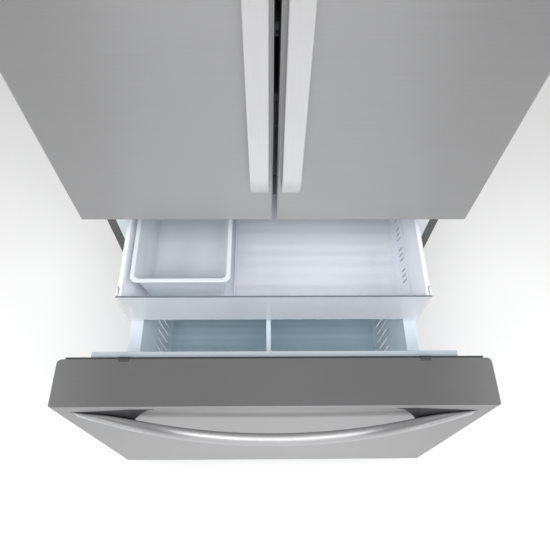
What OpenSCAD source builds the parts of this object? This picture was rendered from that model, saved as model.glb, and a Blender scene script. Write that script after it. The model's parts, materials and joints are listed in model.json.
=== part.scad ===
// French door refrigerator with a bottom freezer drawer.
// X runs across the width, -Y faces the room and Z is up, in millimetres.
// Every piece is drawn with the doors and drawers shut. placed() centres the
// appliance and pulls out the pieces that stand pulled out at rest.

/* [Case] */
// Width across the pair of doors
doors_w = 908; // [880:1:920]
// Height of the case above the floor, without the hinge covers
case_top = 1748; // [1730:1:1760]
// Depth of the case behind its front face
case_d = 743; // [735:1:760]
// Thickness of the insulated side walls
wall_t = 55; // [54:0.5:56]
// Width of the painted front edge of the case
edge_w = 24; // [18:1:26]

/* [French doors] */
// Thickness of the doors and of the drawer front
door_t = 100; // [98:1:101]
// Gap between the two upper doors
door_gap = 9; // [8:1:10]
// Depth of the door bins from the back of the door
bin_reach = 100; // [70:5:100]
// Thickness of a door seal
seal_t = 6.5; // [5:0.5:6.5]

/* [Door handles] */
// Width of an upper door handle
handle_w = 36.5; // [28:0.5:38]
// How far the handles stand out from the doors
handle_out = 62; // [50:1:64]
// Distance from the door gap to the middle of a handle
handle_x = 31.7; // [28:0.1:40]
// Gap between each end of a handle and the end of its door
handle_end_gap = 115; // [90:5:150]

/* [Freezer drawer] */
// Height of the drawer front
drawer_h = 654; // [650:1:654]
// How far the drawer stands open at rest
drawer_out = 434; // [380:1:450]
// Half the length of the bowed drawer handle
bow_half_w = 423.5; // [380:0.5:430]
// How far the bowed handle stands out at its middle
bow_out = 65; // [55:1:65]
// Height of the bowed handle
bow_h = 34; // [26:1:36]

/* [Drawer storage] */
// How far the upper tray stands out at rest
tray_out = 285; // [260:1:300]
// Height of the upper tray
tray_h = 133; // [120:1:134]
// Width of the ice bin across its rim
bin_w = 250; // [220:1:254]
// Place of the basket divider left of the middle
divider_x = -14; // [-60:1:60]
// Number of vent slots in each side of the lower basket
basket_slots = 8; // [4:1:12]

/* [Hidden] */
$fn = 48;

sheet = 1.2;        // steel sheet
liner_t = 2.4;      // moulded plastic liner
plastic_t = 3;      // moulded boxes and bins
fit = 0.2;          // clearance between parts that are fastened together
bore_fit = 0.05;    // radial clearance of a running pin

// Case: outer faces, then the two cold spaces
half_case = doors_w / 2 - 2;
half_in = half_case - wall_t;
case_front = door_t + 7;
case_back = case_front + case_d;
case_bottom = 50;
floor_plate_t = 2;
in_back = case_back - 60;
drawer_bottom = 58;
drawer_top = drawer_bottom + drawer_h;
door_bottom = drawer_top + 26;
door_top = case_top - 4;
mullion_bottom = drawer_top - 17;
mullion_top = door_bottom + 33;
mullion_d = 48;
freezer_floor = 112;
freezer_ceiling = mullion_bottom + 30;
fridge_floor = mullion_top + 4;
fridge_ceiling = case_top - 58;
flange_split = door_bottom - 5;

// Compressor space behind the step in the freezer floor
step_front = 595;
step_top = 330;
machine_front = step_front + 53;
machine_top = step_top - 50;

// Doors
half_door = doors_w / 2;
door_in = door_gap / 2;
pivot_x = half_door - 16;
pivot_y = 26;
pin_r = 5;
pin_depth = 18;
hem = 14;
front_r = 5;
back_r = 10;
seal_w = 16;
drawer_seal_w = 14;
plug_d = 50;        // depth of the raised frame inside an upper door
plug_w = 12;
plug_outer = half_in - 4;
plug_inner = 52;
drawer_plug_d = 24;

// Flipper: the hinged strip that closes the gap behind the two doors
flipper_x = -38;
flipper_y = 120;
flipper_t = 18;
flipper_reach = 66;
flipper_heel = 8;
flipper_bottom = fridge_floor + 6;
flipper_top = fridge_ceiling - 6;
flipper_pivots = [for (i = [0:2]) flipper_bottom + 119 + i * 330];
flipper_pin_r = 3;

// Fridge shelves, as [left end, right end, height]
shelf_front = 240;
shelf_back = in_back - 35;
shelves = [[-393, -3, 1180], [-393, -3, 1440], [3, 393, 1130], [3, 393, 1400]];
cover_z = 1068;
ladder_x = [-387, -68, 68, 387];

// Lower drawer rails and basket
rail_z0 = 203;
rail_z1 = 257;
rail_front = 126;
rail_back = 575;
basket_rim_z = 488;
basket_floor_z = 205;
basket_half = 376.5;
basket_front = 129;
basket_back = 579;

// Upper tray and ice bin
tray_rim_z = 638;
tray_floor_z = tray_rim_z - tray_h;
tray_half = 377.5;
tray_front = 130;
tray_back = 700;
runner_z = tray_floor_z + 62;
clear_t = 3.5;
clear_side = 29;
bin_left = -357;
bin_front = 173;
bin_back = 585;
bin_rim_z = tray_rim_z - 4;

// Duct cover at the back of the freezer space, with its fan
duct_y = 720;
fan_x = 150;
fan_z = 660;

// Ice maker
ice_x = -260;
ice_z = 700;
ice_r = 24;
ice_front = 503;
ice_back = 690;
ice_pitch = (ice_back - ice_front) / 7;

// The appliance is centred on X and on the middle of its depth at rest
mid_y = (case_back - drawer_out - bow_out) / 2;

module placed(pull = 0) {
  translate([0, -mid_y - pull, 0]) children();
}

// A box between its lowest and highest corners
module block(low, high) {
  translate(low) cube(high - low);
}

module both_sides() {
  children();
  mirror([1, 0, 0]) children();
}

module rod(from, length, r, axis = "z") {
  turn = axis == "x" ? [0, 90, 0] : axis == "y" ? [-90, 0, 0] : [0, 0, 0];
  translate(from) rotate(turn) cylinder(r = r, h = length);
}

// A rectangle with its own radius at the front and at the back corners
module rounded(low, high, r_front, r_back) {
  w = high.x - low.x;
  translate([low.x + r_front, low.y]) square([w - 2 * r_front, high.y - low.y - r_back]);
  translate([low.x, low.y + r_front]) square([w, high.y - low.y - r_front - r_back]);
  translate([low.x + r_back, low.y + r_front]) square([w - 2 * r_back, high.y - low.y - r_front]);
  for (x = [low.x + r_front, high.x - r_front])
    translate([x, low.y + r_front]) circle(r = r_front);
  for (x = [low.x + r_back, high.x - r_back])
    translate([x, high.y - r_back]) circle(r = r_back);
}

module rounded_block(low, high, r) {
  translate([0, 0, low.z]) linear_extrude(high.z - low.z)
    rounded([low.x, low.y], [high.x, high.y], r, r);
}

// ---------- Case ----------

module fridge_space(grow, front = case_front) {
  block([-half_in - grow, front, fridge_floor - grow],
        [half_in + grow, in_back + grow, fridge_ceiling + grow]);
}

module freezer_space(grow, front = case_front) {
  difference() {
    block([-half_in - grow, front, freezer_floor - grow],
          [half_in + grow, in_back + grow, freezer_ceiling + grow]);
    block([-half_case, step_front + grow, 0], [half_case, case_back, step_top - grow]);
  }
}

module mullion_space(grow) {
  block([-half_in - grow, case_front - 1, mullion_bottom - grow],
        [half_in + grow, case_front + mullion_d + grow, mullion_top + grow]);
}

module machine_space() {
  block([-half_in, machine_front, 0], [half_in, case_back + 1, machine_top]);
}

// Folded steel wrapper: two sides and a top, with a narrow flange at the front
module cabinet_shell() {
  color("#5e5f61") difference() {
    block([-half_case, case_front, case_bottom], [half_case, case_back, case_top]);
    block([-half_case + sheet, case_front + sheet, 0],
          [half_case - sheet, case_back + 1, case_top - sheet]);
    block([-half_case + edge_w, 0, 0], [half_case - edge_w, case_front + 5, case_top - edge_w]);
  }
}

module back_panel() {
  edge = half_case - sheet - fit;
  color("#9a9b9d")
    block([-edge, case_back - sheet - fit, machine_top + 2],
          [edge, case_back - fit, case_top - sheet - fit]);
}

// Foamed insulation that fills the space between the wrapper and the liners
module cabinet_foam() {
  edge = half_case - sheet - fit;
  color("#e8dcae") difference() {
    block([-edge, case_front + liner_t, case_bottom + floor_plate_t],
          [edge, case_back - 2 * sheet, case_top - sheet - fit]);
    fridge_space(liner_t, 0);
    freezer_space(liner_t, 0);
    mullion_space(liner_t);
    machine_space();
  }
}

module fridge_liner() {
  edge = half_case - edge_w;
  color("#eef2f4") difference() {
    union() {
      fridge_space(liner_t);
      block([-edge, case_front, flange_split], [edge, case_front + liner_t, case_top - edge_w]);
    }
    fridge_space(0, 0);
    block([-half_in, 0, 0], [half_in, case_front + 5, fridge_floor - liner_t]);
  }
}

module freezer_liner() {
  edge = half_case - edge_w;
  color("#e4edf0") difference() {
    union() {
      freezer_space(liner_t);
      block([-edge, case_front, drawer_bottom + 2], [edge, case_front + liner_t, flange_split]);
    }
    freezer_space(0, 0);
    mullion_space(0);
  }
}

// Steel cross beam between the two compartments, open at its back
module horizontal_mullion() {
  edge = half_in - fit;
  color("#3c3d40") difference() {
    block([-edge, case_front, mullion_bottom], [edge, case_front + mullion_d, mullion_top]);
    block([-edge + 1.5, case_front + 1.5, mullion_bottom + 1.5],
          [edge - 1.5, case_back, mullion_top - 1.5]);
  }
}

leg_x = 395;
leg_y = 150;
leg_stem_r = 6;
roller_y = 800;
roller_r = 16;
axle_r = 4;

// Base pan with its rails, the leg nuts and the brackets of the rear rollers
module base_frame() {
  edge = half_case - sheet - fit;
  color("#77797c") difference() {
    union() {
      block([-edge, leg_y - 25, case_bottom], [edge, case_back - 3, case_bottom + floor_plate_t]);
      block([-edge, leg_y - 25, 24], [edge, leg_y - 22, case_bottom]);
      both_sides() {
        block([edge - 3, leg_y - 25, 24], [edge, case_back - 3, case_bottom]);
        rod([leg_x, leg_y, 36], 14, 12);
        for (x = [385, 402])
          block([x, roller_y - 18, 9], [x + 3, roller_y + 18, case_bottom]);
        rod([385, roller_y, roller_r], 20, axle_r, "x");
      }
    }
    both_sides() rod([leg_x, leg_y, 30], 30, leg_stem_r + 0.1);
  }
}

module toe_grille() {
  color("#4a4b4e") difference() {
    block([-438, 110, 10], [438, leg_y - 25, 49]);
    block([-435, 113, 0], [435, leg_y, 46]);
    for (i = [-17:17])
      block([i * 24 - 8, 105, 18], [i * 24 + 8, 120, 38]);
  }
}

module levelling_legs() {
  color("#2e2f31") both_sides() translate([leg_x, leg_y, 0]) rotate_extrude()
    polygon([[0, 0], [20, 0], [20, 6], [12, 12], [leg_stem_r, 12],
             [leg_stem_r, case_bottom - 1], [0, case_bottom - 1]]);
}

module rear_rollers() {
  color("#2e2f31") both_sides() difference() {
    rod([389, roller_y, roller_r], 12, roller_r, "x");
    rod([380, roller_y, roller_r], 40, axle_r + bore_fit, "x");
  }
}

// ---------- Hinges ----------

module top_hinges() {
  color("#b9bbbe") both_sides() {
    difference() {
      union() {
        rod([pivot_x, pivot_y, case_top], 4, 11);
        block([pivot_x - 11, pivot_y, case_top], [pivot_x + 11, 230, case_top + 4]);
      }
      for (y = [150, 185, 220])
        rod([pivot_x, y, case_top - 1], 6, 3.1);
    }
    rod([pivot_x, pivot_y, door_top - pin_depth], case_top - door_top + pin_depth, pin_r);
    for (y = [150, 185, 220]) {
      rod([pivot_x, y, case_top], 4, 3);
      rod([pivot_x, y, case_top + 4], 3, 6);
    }
  }
}

module hinge_covers() {
  color("#55575a") both_sides() difference() {
    rounded_block([388, 12, case_top], [half_case, 240, case_top + 28], 8);
    rounded_block([390.5, 14.5, case_top - 1], [half_case - 2.5, 237.5, case_top + 25.5], 6);
  }
}

// Brackets on the case front that carry the feet of the upper doors
module middle_hinges() {
  plate_z = drawer_top + 10;
  color("#b9bbbe") both_sides() {
    rod([pivot_x, pivot_y, plate_z], 5, 11);
    block([pivot_x - 11, pivot_y, plate_z], [pivot_x + 11, case_front, plate_z + 5]);
    block([pivot_x + 3, case_front - 3, drawer_top - 5], [pivot_x + 11, case_front, plate_z]);
    rod([pivot_x, pivot_y, plate_z + 5], door_bottom - plate_z - 5 + pin_depth, pin_r);
  }
}

// ---------- Upper doors ----------

module door_pin_bores() {
  for (z = [door_bottom - 1, door_top - pin_depth - 2])
    rod([-pivot_x, pivot_y, z], pin_depth + 3, pin_r + bore_fit);
}

// Steel pan, open at the back inside a narrow hem
module pan(x0, x1, z0, z1) {
  difference() {
    translate([0, 0, z0]) linear_extrude(z1 - z0)
      rounded([x0, 0], [x1, door_t], front_r, back_r);
    translate([0, 0, z0 + sheet]) linear_extrude(z1 - z0 - 2 * sheet)
      rounded([x0 + sheet, sheet], [x1 - sheet, door_t - sheet], front_r - sheet, back_r - sheet);
    block([x0 + hem, door_t - 5, z0 + hem], [x1 - hem, door_t + 1, z1 - hem]);
  }
}

// Foamed core of a door with the flat field of its plastic inner liner
module core(x0, x1, z0, z1) {
  inset = sheet + fit;
  translate([0, 0, z0 + inset]) linear_extrude(z1 - z0 - 2 * inset)
    rounded([x0 + inset, inset], [x1 - inset, door_t - inset], front_r - sheet, back_r - sheet);
  block([x0 + hem + fit, door_t - 5, z0 + hem + fit], [x1 - hem - fit, door_t, z1 - hem - fit]);
}

module frame_xz(low, high, w) {
  difference() {
    block(low, high);
    block([low.x + w, low.y - 1, low.z + w], [high.x - w, high.y + 1, high.z - w]);
  }
}

module door_skin() {
  difference() {
    pan(-half_door, -door_in, door_bottom, door_top);
    door_pin_bores();
  }
}

module door_liner() {
  difference() {
    union() {
      core(-half_door, -door_in, door_bottom, door_top);
      frame_xz([-plug_outer, door_t, fridge_floor + 4],
               [-plug_inner, door_t + plug_d, fridge_ceiling - 4], plug_w);
    }
    door_pin_bores();
  }
}

module door_seal() {
  frame_xz([-pivot_x + 2, door_t, door_bottom + 7],
           [-door_in - 4.5, door_t + seal_t, door_top - 6], seal_w);
}

door_bin_z = [800, 1110, 1400];
door_bin_h = 110;

module door_bins() {
  x0 = -plug_outer + plug_w + 0.4;
  x1 = -plug_inner - plug_w - 0.4;
  for (z = door_bin_z) difference() {
    rounded_block([x0, door_t, z], [x1, door_t + bin_reach, z + door_bin_h], 6);
    rounded_block([x0 + plastic_t, door_t + plastic_t, z + plastic_t],
                  [x1 - plastic_t, door_t + bin_reach - plastic_t, z + door_bin_h + 1], 4);
  }
}

// Side outline of a handle: a straight bar whose ends sweep back on round arcs
bar_t = 16;
bar_sweep_r = 134;

module bar_outline(r, stand) {
  sweep = sqrt(bar_sweep_r * bar_sweep_r - pow(bar_sweep_r - handle_out, 2));
  z0 = door_bottom + handle_end_gap + sweep;
  z1 = door_top - handle_end_gap - sweep;
  intersection() {
    union() {
      translate([-stand, z0]) square([stand, z1 - z0]);
      for (z = [z0, z1])
        translate([r - stand, z]) circle(r = r, $fn = 160);
    }
    translate([-stand - 1, door_bottom]) square([stand + 1, door_top - door_bottom]);
  }
}

module door_handle() {
  translate([-handle_x - handle_w / 2, 0, 0]) rotate([90, 0, 90]) linear_extrude(handle_w)
    difference() {
      bar_outline(bar_sweep_r, handle_out);
      bar_outline(bar_sweep_r - bar_t, handle_out - bar_t);
    }
}

module left_door_skin() { color("#a9a9ac") door_skin(); }
module right_door_skin() { color("#a9a9ac") mirror([1, 0, 0]) door_skin(); }
module left_door_liner() { color("#eef2f4") door_liner(); }
module right_door_liner() { color("#eef2f4") mirror([1, 0, 0]) door_liner(); }
module left_door_seal() { color("#3a3b3d") door_seal(); }
module right_door_seal() { color("#3a3b3d") mirror([1, 0, 0]) door_seal(); }
module left_door_bins() { color("#dfe9ee") door_bins(); }
module right_door_bins() { color("#dfe9ee") mirror([1, 0, 0]) door_bins(); }
module left_door_handle() { color("#d8d8da") door_handle(); }
module right_door_handle() { color("#d8d8da") mirror([1, 0, 0]) door_handle(); }

// Brackets on the left door that carry the pins of the flipper
module flipper_hinges() {
  color("#d5dadd") for (z = flipper_pivots) {
    block([-plug_inner, flipper_y - 6, z - 15], [flipper_x, flipper_y + 6, z + 15]);
    rod([flipper_x, flipper_y, z - 15], 30, 6);
    rod([flipper_x, flipper_y, z - 35], 70, flipper_pin_r);
  }
}

// Drawn folded against the free side of the left door
module flipper_mullion() {
  half_t = flipper_t / 2;
  color("#d5dadd") difference() {
    block([flipper_x - half_t, flipper_y - flipper_heel, flipper_bottom],
          [flipper_x + half_t, flipper_y + flipper_reach, flipper_top]);
    for (z = flipper_pivots) {
      block([flipper_x - 20, flipper_y - 20, z - 17], [flipper_x + 20, flipper_y + 13, z + 17]);
      rod([flipper_x, flipper_y, z - 37], 74, flipper_pin_r + bore_fit);
    }
  }
}

// ---------- Freezer drawer ----------

module drawer_front_skin() {
  color("#9c9c9f") pan(-half_door, half_door, drawer_bottom, drawer_top);
}

module drawer_front_liner() {
  color("#dfe9ee") {
    core(-half_door, half_door, drawer_bottom, drawer_top);
    block([-plug_outer, door_t - 1, freezer_floor + 4],
          [plug_outer, door_t + drawer_plug_d, mullion_bottom - 5]);
  }
}

module drawer_front_seal() {
  color("#3a3b3d") frame_xz([-half_door + hem, door_t, drawer_bottom + 8],
                            [half_door - hem, door_t + seal_t, drawer_top - 7], drawer_seal_w);
}

// Radius of the arc that passes a chord's ends and stands out by rise at its middle
function arc_r(half_chord, rise) = (half_chord * half_chord + rise * rise) / (2 * rise);

module bow_outline(half_chord, rise) {
  r = arc_r(half_chord, rise);
  intersection() {
    translate([0, r - rise]) circle(r = r, $fn = 360);
    translate([-half_chord - 1, -rise - 1]) square([2 * half_chord + 2, rise + 1]);
  }
}

module drawer_handle() {
  bow_in_half = bow_half_w - 118;
  color("#d0d0d2") translate([0, 0, drawer_top - 40 - bow_h]) linear_extrude(bow_h)
    difference() {
      bow_outline(bow_half_w, bow_out);
      bow_outline(bow_in_half, bow_out - 19);
    }
}

// Telescopic rails: a channel on the wall, a smaller channel and a bar inside it
module channel(x0, x1, z0, z1, y0, y1) {
  difference() {
    block([x0, y0, z0], [x1, y1, z1]);
    block([x0 - 1, y0 - 1, z0 + 2], [x1 - 2, y1 + 1, z1 - 2]);
  }
}

module rail_outer() {
  color("#b4b6b9") both_sides()
    channel(half_in - 13, half_in, rail_z0, rail_z1, rail_front, rail_back);
}

module rail_middle() {
  color("#b4b6b9") both_sides()
    channel(half_in - 14, half_in - 3.4, rail_z0 + 4, rail_z1 - 4, rail_front + 3, rail_back - 7);
}

// Inner bars with the steel side frames that carry the basket
module rail_inner() {
  front = door_t + drawer_plug_d + 0.5;
  back = rail_back - 10;
  bar_x = half_in - 17;
  color("#b4b6b9") both_sides() {
    block([bar_x, front, rail_z0 + 8], [half_in - 7.4, back, rail_z1 - 8]);
    block([bar_x - 14, front, rail_z0 + 8], [bar_x, back, rail_z1 - 8]);
    block([bar_x - 28, front, basket_rim_z - 14], [bar_x - 6, back, basket_rim_z - 4]);
    for (y = [front, back - 10])
      block([bar_x - 28, y, rail_z0 + 8], [bar_x - 6, y + 10, basket_rim_z - 6]);
  }
}

// A tub whose walls lean in towards its floor
module tub(top_low, top_high, bottom_low, bottom_high, r) {
  hull() {
    translate([0, 0, top_low.z - 1]) linear_extrude(1)
      rounded([top_low.x, top_low.y], [top_high.x, top_high.y], r, r, $fn = 32);
    translate([0, 0, bottom_low.z]) linear_extrude(1)
      rounded([bottom_low.x, bottom_low.y], [bottom_high.x, bottom_high.y], r, r, $fn = 32);
  }
}

module lower_basket() {
  rim_t = 4;
  flange = 33;
  lean = 18;
  x = basket_half - flange;
  y0 = basket_front + 12;
  y1 = basket_back - 12;
  slot_pitch = 25;
  slots_from = (basket_front + basket_back - (basket_slots - 1) * slot_pitch) / 2;
  color("#c9d8e2") difference() {
    union() {
      rounded_block([-basket_half, basket_front, basket_rim_z - rim_t],
                    [basket_half, basket_back, basket_rim_z], 24);
      tub([-x - 2.5, y0 - 2.5, basket_rim_z], [x + 2.5, y1 + 2.5, 0],
          [-x + lean - 2.5, y0 + 7, basket_floor_z], [x - lean + 2.5, y1 - 7, 0], 20);
    }
    tub([-x, y0, basket_rim_z + 1], [x, y1, 0],
        [-x + lean, y0 + 9.5, basket_floor_z + 3], [x - lean, y1 - 9.5, 0], 18);
    for (i = [0:basket_slots - 1])
      block([-basket_half, slots_from + i * slot_pitch, basket_floor_z + 35],
            [basket_half, slots_from + i * slot_pitch + 4, basket_floor_z + 152]);
  }
}

module basket_divider() {
  y0 = basket_front + 14;
  y1 = basket_back - 14;
  color("#d6e2ea") {
    rounded_block([divider_x - 6, y0 + 1, basket_rim_z - 10], [divider_x + 6, y1 - 1, basket_rim_z + 1], 3);
    block([divider_x - 2, y0 + 10, basket_floor_z + 4], [divider_x + 2, y1 - 10, basket_rim_z - 9]);
  }
}

module upper_tray() {
  rim_t = 4;
  rim_w = 11.5;
  lean = 28;
  x = tray_half - rim_w;
  y0 = tray_front + clear_t;
  floor_t = 3;
  slot_pitch = 16;
  group_pitch = 65;
  first_group = tray_front + 108;
  color("#dde6ee") difference() {
    union() {
      block([-x - 5.5, y0 + fit, tray_rim_z - rim_t], [x + 5.5, tray_front + clear_side, tray_rim_z]);
      block([-tray_half, tray_front + clear_side + fit, tray_rim_z - rim_t],
            [tray_half, tray_back, tray_rim_z]);
      tub([-x - 2.5, y0 + fit, tray_rim_z], [x + 2.5, tray_back - 3, 0],
          [-x + lean - 2.5, y0 + fit, tray_floor_z], [x - lean + 2.5, tray_back - 12, 0], 1);
      both_sides()
        block([x - lean, tray_front + clear_side + 2, runner_z], [half_in - 7, tray_back, runner_z + 6]);
    }
    tub([-x, tray_front - 20, tray_rim_z + 1], [x, tray_back - 5.5, 0],
        [-x + lean, tray_front - 20, tray_floor_z + floor_t], [x - lean, tray_back - 14.5, 0], 1);
    for (group = [0:6], i = [-1:1])
      block([-tray_half, first_group + group * group_pitch + i * slot_pitch - 2, tray_floor_z + 29],
            [tray_half, first_group + group * group_pitch + i * slot_pitch + 2, tray_floor_z + 51]);
  }
}

// Clear front that wraps a short way round both sides of the tray
module tray_clear_front() {
  x = tray_half + 1.5;
  color([0.85, 0.9, 0.95, 0.6]) difference() {
    rounded_block([-x, tray_front, tray_floor_z], [x, tray_front + clear_side, tray_rim_z], 1.5);
    block([-x + 4, tray_front + clear_t, tray_floor_z - 1], [x - 4, tray_front + 60, tray_rim_z + 1]);
  }
}

module ice_bin() {
  rim_t = 5;
  left = bin_left;
  right = bin_left + bin_w;
  bottom_z = tray_floor_z + 5;
  color("#c3ced6") difference() {
    union() {
      rounded_block([left, bin_front, bin_rim_z - rim_t], [right, bin_back, bin_rim_z], 18);
      tub([left + 12, bin_front + 8, bin_rim_z], [right - 8, bin_back - 8, 0],
          [left + 38, bin_front + 20, bottom_z], [right - 20, bin_back - 20, 0], 14);
    }
    tub([left + 14.5, bin_front + 10.5, bin_rim_z + 1], [right - 10.5, bin_back - 10.5, 0],
        [left + 40.5, bin_front + 22.5, bottom_z + 3], [right - 22.5, bin_back - 22.5, 0], 12);
  }
}

module tray_tracks() {
  color("#dbe3e8") both_sides()
    block([half_in - 15, rail_front, runner_z - 25], [half_in, duct_y - 5, runner_z - 0.5]);
}

// ---------- Fridge interior ----------

module shelf_frame(x0, x1, z, half_h) {
  difference() {
    block([x0, shelf_front, z - half_h], [x1, shelf_back, z + half_h]);
    block([x0 + 14, shelf_front + 14, z - 20], [x1 - 14, shelf_back - 14, z + 20]);
    block([x0 + 9.8, shelf_front + 9.8, z - 2.2], [x1 - 9.8, shelf_back - 9.8, z + 20]);
  }
}

module shelf_pane(x0, x1, z) {
  block([x0 + 10, shelf_front + 10, z - 2.2], [x1 - 10, shelf_back - 10, z + 2]);
}

module glass_shelves() {
  color([0.75, 0.9, 0.9, 0.5]) {
    for (s = shelves)
      shelf_pane(s[0], s[1], s[2]);
    shelf_pane(-half_in + 4, half_in - 4, cover_z);
  }
}

// Moulded shelf rims, each on two arms that hook into the wall ladders
module shelf_frames() {
  color("#e9eef1") for (s = shelves) {
    shelf_frame(s[0], s[1], s[2], 6);
    arms = s[0] < 0 ? [ladder_x[0], ladder_x[1]] : [ladder_x[2], ladder_x[3]];
    for (x = arms)
      block([x - 2, shelf_back - 150, s[2] - 26], [x + 2, in_back - 6, s[2] - 6]);
  }
}

module shelf_ladders() {
  color("#c4c7ca") for (x = ladder_x) difference() {
    block([x - 8, in_back - 6, 1090], [x + 8, in_back, 1630]);
    for (i = [0:20])
      block([x - 3, in_back - 8, 1102 + i * 25], [x + 3, in_back - 2, 1114 + i * 25]);
  }
}

crisper_z0 = 895;
crisper_z1 = 1050;
crisper_front = 262;
crisper_back = 740;

// Rim of the glass cover with the rails that the crispers slide on
module crisper_cover() {
  rail_top = crisper_z1 - 4.5;
  color("#e9eef1") {
    shelf_frame(-half_in + 4, half_in - 4, cover_z, 6);
    both_sides()
      block([half_in - 11, 250, rail_top - 12], [half_in, shelf_back, rail_top]);
    block([-8, 250, rail_top - 6], [8, shelf_back, rail_top]);
    block([-1.5, 250, rail_top - 1], [1.5, shelf_back, cover_z - 6]);
    for (y = [shelf_front, shelf_back - 14])
      block([-1.5, y, cover_z - 7], [1.5, y + 14, cover_z - 6]);
  }
}

module crisper(x0, x1) {
  color([0.86, 0.93, 0.96, 0.6]) difference() {
    union() {
      rounded_block([x0 + 6, crisper_front, crisper_z0], [x1 - 6, crisper_back, crisper_z1], 6);
      block([x0, crisper_front + 6, crisper_z1 - 4], [x1, crisper_back, crisper_z1]);
    }
    rounded_block([x0 + 6 + plastic_t, crisper_front + plastic_t, crisper_z0 + plastic_t],
                  [x1 - 6 - plastic_t, crisper_back - plastic_t, crisper_z1 + 1], 4);
  }
}

module crisper_left() { crisper(-half_in + 7, -4); }
module crisper_right() { crisper(4, half_in - 7); }

module deli_drawer() {
  x = half_in - 7;
  z1 = fridge_floor + 105;
  color([0.86, 0.93, 0.96, 0.6]) difference() {
    rounded_block([-x, crisper_front, fridge_floor + 0.5], [x, crisper_back, z1], 6);
    rounded_block([-x + plastic_t, crisper_front + plastic_t, fridge_floor + 0.5 + plastic_t],
                  [x - plastic_t, crisper_back - plastic_t, z1 + 1], 4);
  }
}

module air_duct_cover() {
  z0 = 1085;
  z1 = 1640;
  color("#e9eef1") difference() {
    rounded_block([-52, in_back - 28, z0], [52, in_back, z1], 4);
    block([-49, in_back - 25, z0 - 1], [49, in_back + 1, z1 - 3]);
    for (x = [-26, 26], z = [z0 + 40:50:z0 + 490])
      block([x - 15, in_back - 40, z], [x + 15, in_back - 20, z + 6]);
  }
}

module ceiling_light() {
  color("#fbfdff") rounded_block([-140, 275, fridge_ceiling - 8], [140, 435, fridge_ceiling], 12);
}

// Touch strip under the fridge ceiling, with flush pads
module control_panel() {
  color("#d8dee2") {
    rounded_block([-130, 196, fridge_ceiling - 16], [130, 252, fridge_ceiling], 6);
    for (i = [-2:2])
      rounded_block([i * 44 - 14, 210, fridge_ceiling - 17], [i * 44 + 14, 238, fridge_ceiling - 15.5], 4);
  }
}

// ---------- Freezer interior ----------

module freezer_duct_cover() {
  edge = half_in - 0.4;
  color("#e4edf0") {
    difference() {
      block([-edge, duct_y, step_top + 0.2], [edge, duct_y + 3, freezer_ceiling - 0.2]);
      for (i = [-3:3])
        block([fan_x - sqrt(44 * 44 - i * i * 144), duct_y - 1, fan_z + i * 12 - 3],
              [fan_x + sqrt(44 * 44 - i * i * 144), duct_y + 4, fan_z + i * 12 + 3]);
      for (i = [-7:7])
        block([i * 46 - 15, duct_y - 1, 352], [i * 46 + 15, duct_y + 4, 358]);
    }
    // Motor of the evaporator fan on its bracket
    difference() {
      rod([fan_x, in_back - 22, fan_z], 22, 20, "y");
      rod([fan_x, in_back - 23, fan_z], 13, 2 + bore_fit, "y");
    }
    for (x = [fan_x - 56, fan_x + 50])
      block([x, duct_y + 3, fan_z - 5], [x + 6, in_back, fan_z + 5]);
    block([fan_x - 51, in_back - 8, fan_z - 5], [fan_x + 51, in_back, fan_z + 5]);
  }
}

module fan(hub_r, tip_r, depth, blades) {
  cylinder(r = hub_r, h = depth);
  for (i = [0:blades - 1]) rotate([0, 0, i * 360 / blades])
    translate([hub_r - 1, 0, depth / 2]) rotate([32, 0, 0])
      translate([0, -tip_r * 0.27, -0.8]) cube([tip_r - hub_r - 2, tip_r * 0.54, 1.6]);
}

module evaporator_fan() {
  color("#e8eaec") translate([fan_x, duct_y + 10, fan_z]) rotate([-90, 0, 0]) {
    fan(14, 42, 26, 5);
    cylinder(r = 2, h = 46);
  }
}

// Finned coil behind the duct cover
module evaporator() {
  color("#c9cccf") {
    for (i = [-13:13])
      block([i * 20 - 0.5, duct_y + 12, 375], [i * 20 + 0.5, in_back - 6, 590]);
    for (z = [395:34:571], y = [duct_y + 24, in_back - 18])
      rod([-266, y, z], 532, 4, "x");
    for (x = [-266, 263])
      block([x, duct_y + 12, 375], [x + 3, in_back - 6, 590]);
  }
}

// Gear housing, ice tray and rear bearing, hung from the freezer ceiling
module ice_maker() {
  w = 33;
  color("#d7dde2") difference() {
    union() {
      rounded_block([ice_x - 45, ice_front - 33, 650], [ice_x + 45, ice_front, 722], 5);
      block([ice_x - w, ice_front, ice_z - 33], [ice_x + w, ice_back, ice_z]);
      block([ice_x - w, ice_back, ice_z - 33], [ice_x + w, ice_back + 12, 722]);
      block([ice_x - 50, ice_front - 33, 721], [ice_x + 50, ice_back + 12, freezer_ceiling - 0.2]);
    }
    difference() {
      rod([ice_x, ice_front, ice_z], ice_back - ice_front, ice_r, "y");
      for (i = [1:6])
        translate([ice_x, ice_front + i * ice_pitch, 0]) block([-w, -1, 0], [w, 1, ice_z - 6]);
    }
    rod([ice_x, ice_front - 14, ice_z], ice_back - ice_front + 22, 4 + bore_fit, "y");
  }
}

module ice_ejector() {
  color("#eceff1") {
    rod([ice_x, ice_front - 13, ice_z], ice_back - ice_front + 20, 4, "y");
    for (i = [0:6])
      translate([ice_x, ice_front + i * ice_pitch + 11, ice_z]) block([-3, 0, 0], [3, 4.5, 19]);
  }
}

// ---------- Compressor space ----------

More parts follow.
